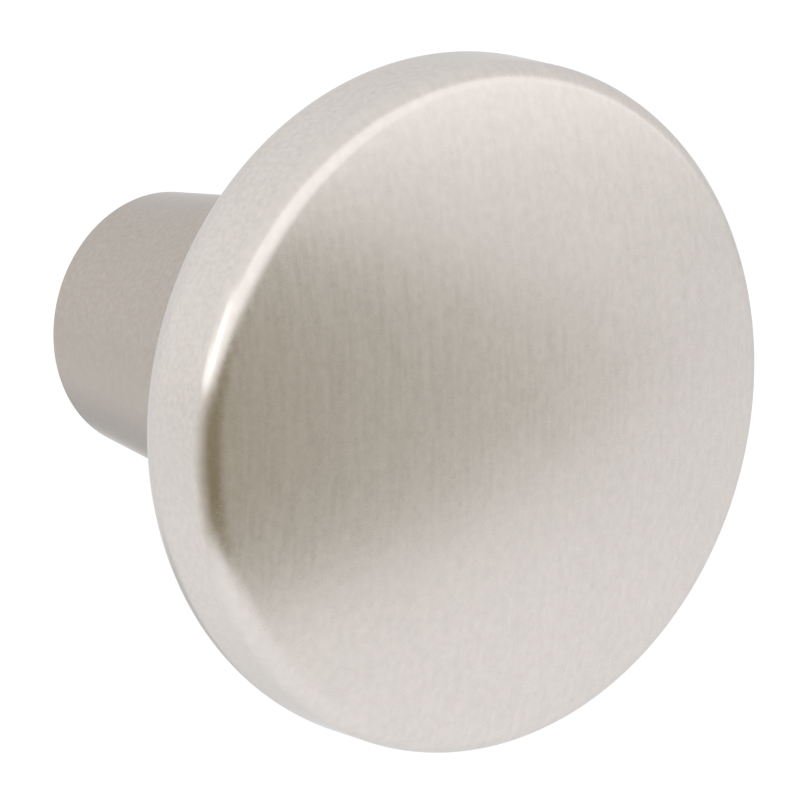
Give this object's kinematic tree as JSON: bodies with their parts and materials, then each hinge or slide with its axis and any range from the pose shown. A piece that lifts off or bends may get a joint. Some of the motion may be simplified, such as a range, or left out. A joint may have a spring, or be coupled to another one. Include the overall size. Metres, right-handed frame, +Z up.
{
  "type": "cabinet knob",
  "caption": "Round satin nickel cabinet knob with a softly domed brushed face, a rounded rim and a flared stem, screwed to a door or drawer front from behind.",
  "frame": {"origin": "centre of the screw hole's mouth, in the plane of the base that lies on the door", "axes": "+Y out of the screw hole, into the door; the domed face looks along -Y; +Z up as the knob hangs on an upright door"},
  "size_m": [0.032, 0.0286, 0.032],
  "materials": {
    "satin_nickel": "satin nickel plate: upright fine brushing on the domed face, soft satin grain on rim, neck and stem"
  },
  "bodies": {
    "root": {"knob": "satin_nickel"}
  },
  "joints": []
}
